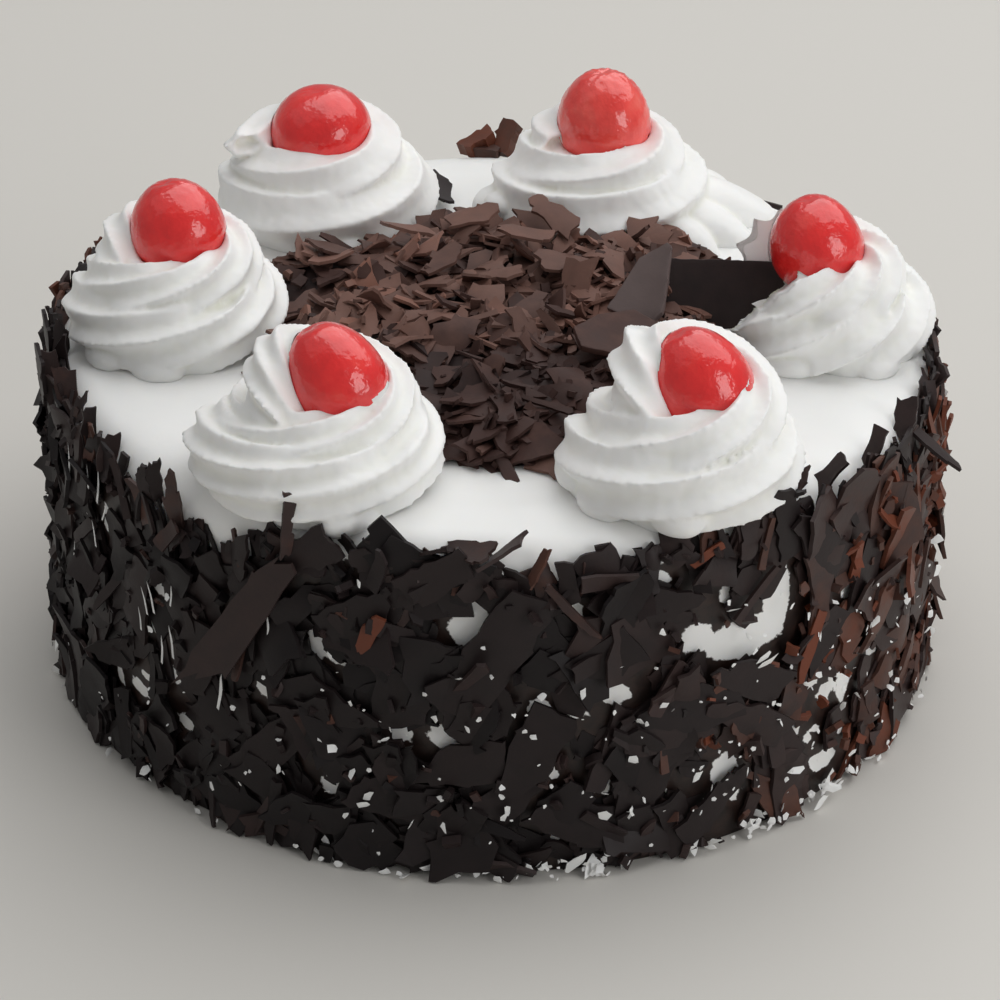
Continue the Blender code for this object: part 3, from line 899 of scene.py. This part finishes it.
def on_side(azimuth, height, reach, lean, size=1.0, tip=0.0, roll=0.0):
    """A matrix that lays a shaving on the cake's side, leaning from upright towards the right."""
    turn = radians(azimuth)
    # the cake's right shoulder is a little softer
    reach -= RIGHT_SINK * exp(-((azimuth + 2) / 22) ** 2) * clamp((height - SOFT_SHOULDER) / 12)
    outward = polar(1, turn)
    rightward = Vector((-sin(turn), cos(turn), 0))
    along = Vector((0, 0, cos(radians(lean)))) + rightward * sin(radians(lean))
    return facing(polar(reach * MM, turn, height * MM), along, outward, size, tip, roll)


# %% Coat of shavings on the side


# spread of the lean in degrees, painted light on the right side, and shares of a shaving's length
UPRIGHT_LEAN, FRONT_LEAN = 22, 38
# painted light: how much lighter the shavings on the right side are drawn
RIGHT_PAINTED_LIGHT = 0.42
OVER_EDGE, HALF_WIDTH = 0.2, 0.22
LOWEST, HIGHEST = 1, 77


def scatter_side(count, sizes, reach, shapes, tilt, shades, margin):
    """Lay shavings at random on the side, below the coat's edge and clear of the bare spots."""
    laid = []
    while len(laid) < count:
        azimuth = chance.uniform(-180, 180)
        height = chance.uniform(LOWEST, HIGHEST)
        size = chance.triangular(*sizes)
        length = size * 10
        if height > coat_top(azimuth) - length * OVER_EDGE:
            continue
        if bareness(azimuth, height, margin + length * HALF_WIDTH) > 1:
            continue
        height = max(height, length * HALF_WIDTH)
        # the shavings stand upright on the sides and lie every way at the front
        lean = chance.gauss(0, UPRIGHT_LEAN + FRONT_LEAN * exp(-((azimuth + 90) / 35) ** 2))
        # painted light and shade: shavings on the right, where the light falls, are drawn lighter brown,
        # those on the left darker
        right_light_shift = RIGHT_PAINTED_LIGHT * max(-0.45, min(1.0, (azimuth + 72) / 30))
        place = on_side(azimuth, height, chance.uniform(*reach), lean, size,
                        chance.gauss(0, tilt), chance.gauss(0, tilt))
        laid.append((chance.choice(shapes), place, max(0, chance.triangular(*shades) + right_light_shift)))
    return laid


# count, sizes in cm (least, most, usual), distance from the middle in mm, shapes, tilt in degrees,
# shades, clearance of bare spots in mm
under_coat = scatter_side(1500, (0.5, 1.4, 0.9), (95.9, 96.9), PLATES + SLIVERS, 6, (0.0, 0.6, 0.15), 0.6)
upper_coat = scatter_side(620, (0.9, 2.3, 1.3), (97.2, 98.6), CURLED, 9, (0.0, 0.62, 0.2), 1.6)
upper_coat += scatter_side(320, (0.7, 2.0, 1.0), (97.4, 99.2), SLIVERS, 12, (0.05, 0.95, 0.35), 1.4)
under_coat += scatter_side(900, (0.10, 0.42, 0.2), (96.5, 99.0), CHIPS, 40, (0.0, 1.0, 0.4), 0.3)

# the ragged edge: shavings that stand up past the shoulder
EDGE_SHAVINGS = 270
for step in range(EDGE_SHAVINGS):
    azimuth = step * 360 / EDGE_SHAVINGS + chance.uniform(-1, 1) - 180
    size = chance.triangular(0.4, 1.5, 0.8)
    height = coat_top(azimuth) - size * 4.0 + chance.uniform(-1.0, 3.2)
    shapes = SLIVERS if chance.random() < 0.5 else CURLED
    place = on_side(azimuth, height, chance.uniform(95.8, 97.8), chance.gauss(0, 26), size,
                    chance.gauss(4, 9), chance.gauss(0, 14))
    upper_coat.append((chance.choice(shapes), place, chance.triangular(0.05, 0.8, 0.3)))

# the large shavings that catch the eye: azimuth, height, length, width, lean, shade, curl, reach
LARGE_SHAVINGS = (
    (-164, 76, 13, 8, 170, 0.30, 0.5, 99.4), (-168, 82, 15, 6, 14, 0.10, 0.4, 97.0),
    (-90, 53, 31, 14, 24, 0.20, 0.15, 98.8), (-121, 51, 44, 9, 31, 0.50, 0.1, 100.2),
    (-105, 60, 18, 11, 49, 0.16, 0.3, 98.6), (-58, 40, 30, 8, 121, 0.32, 0.2, 99.0),
    (-85, 30, 22, 12, 32, 0.18, 0.2, 98.8), (-92, 28, 25, 12, 45, 0.22, 0.4, 98.4),
    (-58, 30, 23, 8, 132, 0.40, 0.3, 99.0), (-115, 27, 29, 10, 54, 0.24, 0.3, 98.6),
    (-48, 66, 22, 10, 134, 0.30, 0.3, 98.6), (-104, 57, 11, 3.4, 27, 0.95, 0.0, 100.2),
    (-78, 51, 18, 10, 59, 0.18, 0.3, 98.6), (-69, 62, 12, 9, 66, 0.25, 0.2, 98.4),
    (-53, 73, 17, 8, -12, 0.15, 0.2, 97.8), (-81, 63, 17, 2, -40, 0.62, 0.0, 99.4),
    (-66, 36, 22, 12, 80, 0.18, 0.3, 98.4), (-72, 24, 24, 13, 20, 0.16, 0.3, 98.2),
    (-100, 42, 20, 13, 8, 0.14, 0.3, 98.3), (-110, 38, 24, 12, 76, 0.15, 0.2, 98.2),
    (-128, 36, 24, 10, 15, 0.26, 0.4, 98.4), (-101, 17, 22, 11, 96, 0.16, 0.2, 98.2),
    (-81, 13, 24, 10, 100, 0.18, 0.2, 98.0), (-62, 12, 20, 10, 60, 0.24, 0.3, 98.2),
    (-48, 42, 17, 9, 40, 0.30, 0.3, 98.4), (-38, 52, 20, 9, 14, 0.34, 0.3, 98.2),
    (-30, 36, 20, 9, 160, 0.40, 0.3, 98.2), (-30, 58, 15, 7, 12, 0.45, 0.2, 97.2),
    (-138, 44, 22, 8, 8, 0.34, 0.4, 98.2), (-148, 30, 20, 8, 20, 0.30, 0.4, 98.2),
    (-96, 70, 16, 9, 60, 0.30, 0.2, 98.4), (-112, 70, 17, 8, 48, 0.34, 0.3, 98.0),
)
for azimuth, height, length, width, lean, shade, curl, reach in LARGE_SHAVINGS:
    shape = make_shaving(length, width, -curl, 3, chance.uniform(-0.5, 0.5), 1.0, 8, 4, 0.06,
                         chance.uniform(-0.9, 0.3))
    place = on_side(azimuth, height, reach, lean, 1.0, chance.gauss(0, 2.5), chance.gauss(0, 3))
    upper_coat.append((shape, place, shade))

# single shavings on the rim: x, y, z in mm, length, width, heading and rise in degrees, shade
RIM_SHAVINGS = (
    (2.6, -96.5, 77.0, 14, 5.0, 24, 26, 0.55), (-5.5, -95.5, 75.5, 12, 6.0, -30, 14, 0.60),
    (-13.0, -95.0, 75.0, 13, 5.0, -48, 30, 0.40), (-39.4, -90.5, 78.0, 14, 3.8, -80, 86, 0.60),
    (-67.3, -69.0, 75.5, 12, 3.2, -100, 84, 0.35), (-69.5, -67.5, 74.0, 10, 3.0, -115, 76, 0.35),
    (-62.8, -74.5, 74.0, 15, 5.0, -110, 78, 0.62), (-92.5, -30.0, 76.5, 13, 4.5, 80, 74, 0.50),
    (-92.0, -22.0, 77.0, 14, 4.0, -100, 80, 0.30), (-89.0, -37.0, 76.0, 13, 5.0, 95, 66, 0.62),
    (-86.0, -44.0, 75.0, 14, 4.6, 60, 72, 0.45), (-82.0, -50.0, 74.5, 12, 4.4, 120, 80, 0.35),
    (-78.0, -56.0, 73.5, 11, 4.0, 70, 66, 0.52), (-93.0, -14.0, 77.0, 11, 4.0, 60, 70, 0.40),
    (89.5, -43.5, 72.5, 16, 5.0, -32, -32, 0.40), (57.0, -73.5, 77.2, 13, 7.0, -45, 24, 0.10),
    (66.5, -65.5, 76.4, 12, 4.6, 20, 42, 0.45), (60.5, -68.0, 76.8, 8, 3.6, 60, 35, 0.60),
    (76.0, -55.0, 76.4, 10, 4.0, 60, 55, 0.50), (84.0, -43.0, 76.0, 11, 4.4, 80, 55, 0.45),
    (90.0, -29.0, 76.0, 12, 4.4, 100, 65, 0.50), (8.2, -96.6, 72.0, 10, 2.2, 40, 60, 0.75),
)


def lay_loose(x, y, z, length, width, heading, rise, shade, curl=0.5, roll=0.0, thickness=0.9):
    """A shaving that lies free at a point, its long side along a heading and rising from it."""
    shape = make_shaving(length, width, curl, 3, chance.uniform(-2, 2), thickness, 6, 4, 0.09,
                         chance.uniform(-1.5, 1.0))
    turn, climb = radians(heading), radians(rise)
    along = polar(cos(climb), turn, sin(climb))
    upward_face = Vector((-sin(climb) * cos(turn), -sin(climb) * sin(turn), cos(climb)))
    return shape, facing(Vector((x, y, z)) * MM, along, upward_face, roll=roll), shade


for spot in RIM_SHAVINGS:
    upper_coat.append(lay_loose(*spot, roll=chance.gauss(0, 14)))

join_shavings("side_shavings_inner", under_coat, dark_chocolate, "dark_shavings", "side_shavings")
join_shavings("side_shavings_outer", upper_coat, dark_chocolate, "dark_shavings")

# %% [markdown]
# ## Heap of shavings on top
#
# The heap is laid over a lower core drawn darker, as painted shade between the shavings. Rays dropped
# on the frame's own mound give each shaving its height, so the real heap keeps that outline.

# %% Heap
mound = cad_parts["top_shavings"]
mound_points = [mound.matrix_world @ vertex.co for vertex in mound.data.vertices]
mound_tree = BVHTree.FromPolygons(mound_points, [face.vertices[:] for face in mound.data.polygons])
SKY = 0.3
# painted shade: the core is drawn near-black, so the gaps between the heap's shavings look shadowed
CORE_PAINTED_SHADE = 0.05
CORE_WIDTH, CORE_HEIGHT = 0.97, 0.72
CORE_CREASE = 40


def mound_at(x, y):
    """Point and normal of the mound under a place, or None beside it."""
    point, normal, _, _ = mound_tree.ray_cast(Vector((x, y, SKY)), Vector((0, 0, -1)))
    return None if point is None else (point, normal)


core_bm = bmesh.new()
core_bm.from_mesh(mound.data)
bmesh.ops.transform(core_bm, matrix=mound.matrix_world, verts=core_bm.verts)
bmesh.ops.remove_doubles(core_bm, verts=core_bm.verts, dist=0.01 * MM)
core_floor = min(vertex.co.z for vertex in core_bm.verts)
for vertex in core_bm.verts:
    vertex.co.xy *= CORE_WIDTH
    vertex.co.z = core_floor - FLOOR_GAP + (vertex.co.z - core_floor) * CORE_HEIGHT
core_mesh = mesh_from("heap core", core_bm, CORE_CREASE)
store(core_mesh, "shade", [CORE_PAINTED_SHADE] * len(core_mesh.vertices))
place_mesh("top_shavings_core", core_mesh, top_lit_chocolate, "brown_shavings", "top_shavings")


# painted shade: how much darker the front of the heap is drawn
FRONT_SHADE = 0.55


def scatter_heap(count, sizes, shapes, tilt, shades, sink):
    """Drop shavings on the mound, mostly lying flat, some standing on edge."""
    laid = []
    while len(laid) < count:
        x, y = chance.uniform(-0.075, 0.075), chance.uniform(-0.08, 0.042)
        under = mound_at(x, y)
        if under is None:
            continue
        point, normal = under
        size = chance.triangular(*sizes)
        heading = chance.uniform(0, tau)
        up = (normal + Vector((0, 0, 1.2))).normalized()
        origin = point + Vector((0, 0, chance.uniform(*sink) * MM))
        place = facing(origin, polar(1, heading), up, size, chance.gauss(0, tilt),
                       chance.gauss(0, tilt))
        # painted shade: the front of the heap lies in the shade of taller shavings and is drawn darker
        dark = 1 - FRONT_SHADE * clamp((-18 - y / MM) / 14)
        laid.append((chance.choice(shapes), place, chance.triangular(*shades) * dark))
    return laid


# the flakes of the heap are more curled and torn than those of the side
FLAKES = [make_shaving(10, chance.uniform(4.5, 8), chance.uniform(-9, 4), chance.randint(2, 4),
                       chance.uniform(-6, 6), 0.8, 5, 3, chance.uniform(0.09, 0.14),
                       chance.uniform(-3, 2)) for _ in range(30)]
heap = scatter_heap(260, (0.5, 1.1, 0.8), PLATES, 16, (0.1, 0.7, 0.35), (-1.8, 0.2))
heap += scatter_heap(300, (0.7, 1.6, 1.05), FLAKES, 20, (0.35, 1.0, 0.65), (-1.0, 1.3))
heap += scatter_heap(90, (0.6, 1.3, 0.9), SLIVERS, 20, (0.2, 1.0, 0.6), (-0.5, 1.6))
heap += scatter_heap(240, (0.10, 0.35, 0.2), CHIPS, 40, (0.1, 1.0, 0.5), (-0.5, 1.5))
# the large plates of the heap: x, y, z in mm, length, width, heading, rise, shade
HEAP_PLATES = (
    (9, 33, 83, 13, 10, 95, 22, 0.55), (-3, 36, 82, 13, 9, 60, 34, 0.60),
    (-14, 36, 81, 12, 9, 110, 24, 0.52), (22, 32, 82, 12, 8, 60, 16, 0.50),
    (-26, 31, 81, 11, 8, 150, 14, 0.55), (6, 20, 89, 12, 8, 170, 8, 0.62),
    (-6, 30, 89, 12, 9, 20, 12, 0.66), (12, 31, 89, 13, 8, 150, 12, 0.60),
    (-36, 18, 85, 14, 7, 170, 12, 0.45), (-20, 24, 88, 12, 8, 200, 16, 0.68),
    (2, 2, 88, 11, 8, 10, 10, 0.62), (14, 8, 88, 12, 9, 175, 10, 0.55),
    (-12, 8, 88, 12, 7, 30, 10, 0.48), (0, -22, 86, 12, 8, 100, 20, 0.40),
    (14, -62, 79, 13, 9, 55, 18, 0.62), (9, -50, 81, 12, 9, 80, 22, 0.30),
    (-6, -44, 82, 13, 7, 95, 40, 0.14), (2, -60, 79, 11, 6, 20, 8, 0.30),
)
for spot in HEAP_PLATES:
    heap.append(lay_loose(*spot, curl=chance.uniform(-0.4, 1.2), roll=chance.gauss(0, 10)))
join_shavings("top_shavings_heap", heap, top_lit_chocolate, "brown_shavings")

# %% [markdown]
# ## Three big shards
#
# They stand by the right rosette: a straight dark slab pushed into the cream, a grey-brown curl with
# bloom in front of it, and a flat piece. The edges of each convex outline cut it from a fine grid,
# which is then bowed, thickened and rounded.

# %% Shards
SHARD_THICKNESS = 1.5
SHARD_RAGGED = 0.22
SHARD_WAVE = 0.25
SHARD_ROUNDING = 0.2


def make_shard(name, outline, bow, pose, shade, material, slot, node):
    """A shard in mm from a convex outline, bowed along X, with rounded edges, in its place."""
    bm = bmesh.new()
    bmesh.ops.create_grid(bm, x_segments=26, y_segments=22, size=16)
    for start, end in zip(outline, outline[1:] + outline[:1]):
        edge = Vector(end) - Vector(start)
        bmesh.ops.bisect_plane(bm, geom=bm.verts[:] + bm.edges[:] + bm.faces[:], clear_outer=True,
                               plane_co=(*start, 0), plane_no=(edge.y, -edge.x, 0))
    for vertex in bm.verts:
        if vertex.is_boundary:
            vertex.co.x += SHARD_RAGGED * noise.noise(vertex.co * 0.9)
            vertex.co.y += SHARD_RAGGED * noise.noise(vertex.co * 0.9 + Vector((9, 0, 0)))
        vertex.co.z = 0.5 * bow * vertex.co.x ** 2 + SHARD_WAVE * noise.noise(vertex.co * 0.16)
    bmesh.ops.solidify(bm, geom=bm.faces[:], thickness=SHARD_THICKNESS)
    bmesh.ops.recalc_face_normals(bm, faces=bm.faces)
    corners = [edge for edge in bm.edges if len(edge.link_faces) == 2
               and edge.calc_face_angle() > radians(50)]
    bmesh.ops.bevel(bm, geom=corners, offset=SHARD_ROUNDING, segments=2, profile=0.5, affect="EDGES",
                    material=-1)
    bmesh.ops.transform(bm, matrix=shard_place(pose) @ Matrix.Scale(MM, 4), verts=bm.verts)
    mesh = mesh_from(name, bm, 40)
    store(mesh, "shade", [shade] * len(mesh.vertices))
    return place_mesh(name, mesh, material, slot, node)


slab_outline = [(-13, -4), (1.5, -9), (6, -6), (10.5, -2), (13.8, 1), (14.4, 7.2), (-13, 7)]
curl_outline = [(-6, -10.5), (4.5, -10.8), (6.5, -8), (3.8, 0), (1.5, 8), (-0.2, 8.8), (-4.4, 3.4)]
flat_outline = [(-9, -3), (-2, -6.5), (7, -5), (9.5, 0), (7, 5), (-1, 6), (-8, 3)]
bloomed_chocolate = chocolate_finish("bloomed chocolate curl", [(0.0, "#39302f"), (0.5, "#5c4f4d"),
                                                                (1.0, "#6b5d5b")], 0.62)
make_shard("slab_of_dark_chocolate", slab_outline, 0.006, SLAB_POSE, 0.42, dark_chocolate,
           "dark_shard", "shard_slab")
make_shard("curl_of_chocolate", curl_outline, 0.055, CURL_POSE, 0.5, bloomed_chocolate,
           "grey_brown_shard", "shard_curl")
make_shard("flat_piece_of_chocolate", flat_outline, 0.018, FLAT_POSE, 0.36, top_lit_chocolate,
           "brown_shard", "shard_flat")

# %% [markdown]
# ## Dabs and crumbs
#
# Handling leaves white smears on the shavings and chocolate crumbs on the cream.

# %% Small things


def make_dab(stretch):
    """A small ragged smear of cream about 1 mm across."""
    bm = bmesh.new()
    bmesh.ops.create_icosphere(bm, subdivisions=1, radius=0.5)
    for vertex in bm.verts:
        vertex.co *= chance.uniform(0.3, 1.5)
        vertex.co.x *= stretch
        vertex.co.z *= 0.3
    points = np.array([vertex.co for vertex in bm.verts])
    triangles = np.array([[corner.index for corner in face.verts] for face in bm.faces])
    bm.free()
    return points, triangles


DABS_OF_CREAM = [make_dab(chance.choice((1.0, 1.2, 1.6, 2.4))) for _ in range(20)]
dabs = []
DAB_COUNT, STREAK_COUNT, SMEAR_COUNT = 250, 18, 150
while len(dabs) < DAB_COUNT:
    azimuth = chance.gauss(-70, 45)
    height = chance.triangular(1, 72, 20)
    # more of them low on the cake and towards the right
    if chance.random() > 0.45 + 0.4 * (azimuth > -62) + 0.2 * (height < 40):
        continue
    place = on_side(azimuth, height, chance.uniform(98.6, 99.9), chance.gauss(0, 55),
                    0.5 + chance.expovariate(1.6), chance.gauss(0, 25), chance.gauss(0, 25))
    dabs.append((chance.choice(DABS_OF_CREAM), place, 0.0))
streak = make_dab(6.0)
for _ in range(STREAK_COUNT):
    # thin upright streaks of cream on the left
    place = on_side(chance.uniform(-162, -116), chance.uniform(34, 70), chance.uniform(98.4, 99.4),
                    chance.gauss(0, 9) + 90, chance.uniform(0.7, 1.3), 0, 0)
    dabs.append((streak, place @ Matrix.Rotation(radians(90), 4, "Z"), 0.0))
for _ in range(SMEAR_COUNT):
    # smears where the knife lifted the cake, along the foot
    azimuth = chance.choice((chance.gauss(-45, 17), chance.gauss(-84, 12), chance.uniform(-170, 0)))
    place = on_side(azimuth, chance.uniform(0.6, 4.5), chance.uniform(97.0, 100.0),
                    chance.gauss(90, 50), chance.triangular(0.6, 2.8, 1.2), chance.gauss(0, 35), 0)
    dabs.append((chance.choice(DABS_OF_CREAM), place, 0.0))
# crumbly bits of cream stuck to the slab's end
CRUMB_PLACES = ((13.2, 0.5), (12, -0.5), (9, -2), (8, -3.5), (6, -5.5), (4, -7))
for x, y in CRUMB_PLACES:
    spot = shard_place(SLAB_POSE) @ (Vector((x, y, 1.0)) * MM)
    place = Matrix.Translation(spot) @ Matrix.Rotation(radians(40), 4, "X") @ Matrix.Scale(
        chance.uniform(1.8, 3.0) * MM, 4)
    dabs.append((chance.choice(DABS_OF_CREAM), place, 0.0))
join_shavings("cream_dabs", dabs, piped_cream, "piped_cream")

loose = [
    # a broken pair of thick pieces on the back rim and a dark leaf beside the back left rosette
    lay_loose(-6.0, 93.5, 79.5, 9, 7, 20, 20, 0.93, thickness=4.0),
    lay_loose(1.0, 94.0, 80.0, 9, 7, 50, 45, 0.85, thickness=3.6),
    lay_loose(-2.0, 92.0, 78.0, 9, 6, -10, 0, 0.7, thickness=3.0),
    lay_loose(-13.5, 66.0, 79.5, 15, 4.5, 95, 4, 0.35),
    lay_loose(-14.8, -74.0, 78.0, 5, 3.5, 40, 10, 0.6),
]
join_shavings("loose_shavings", loose, dark_chocolate, "dark_shavings")
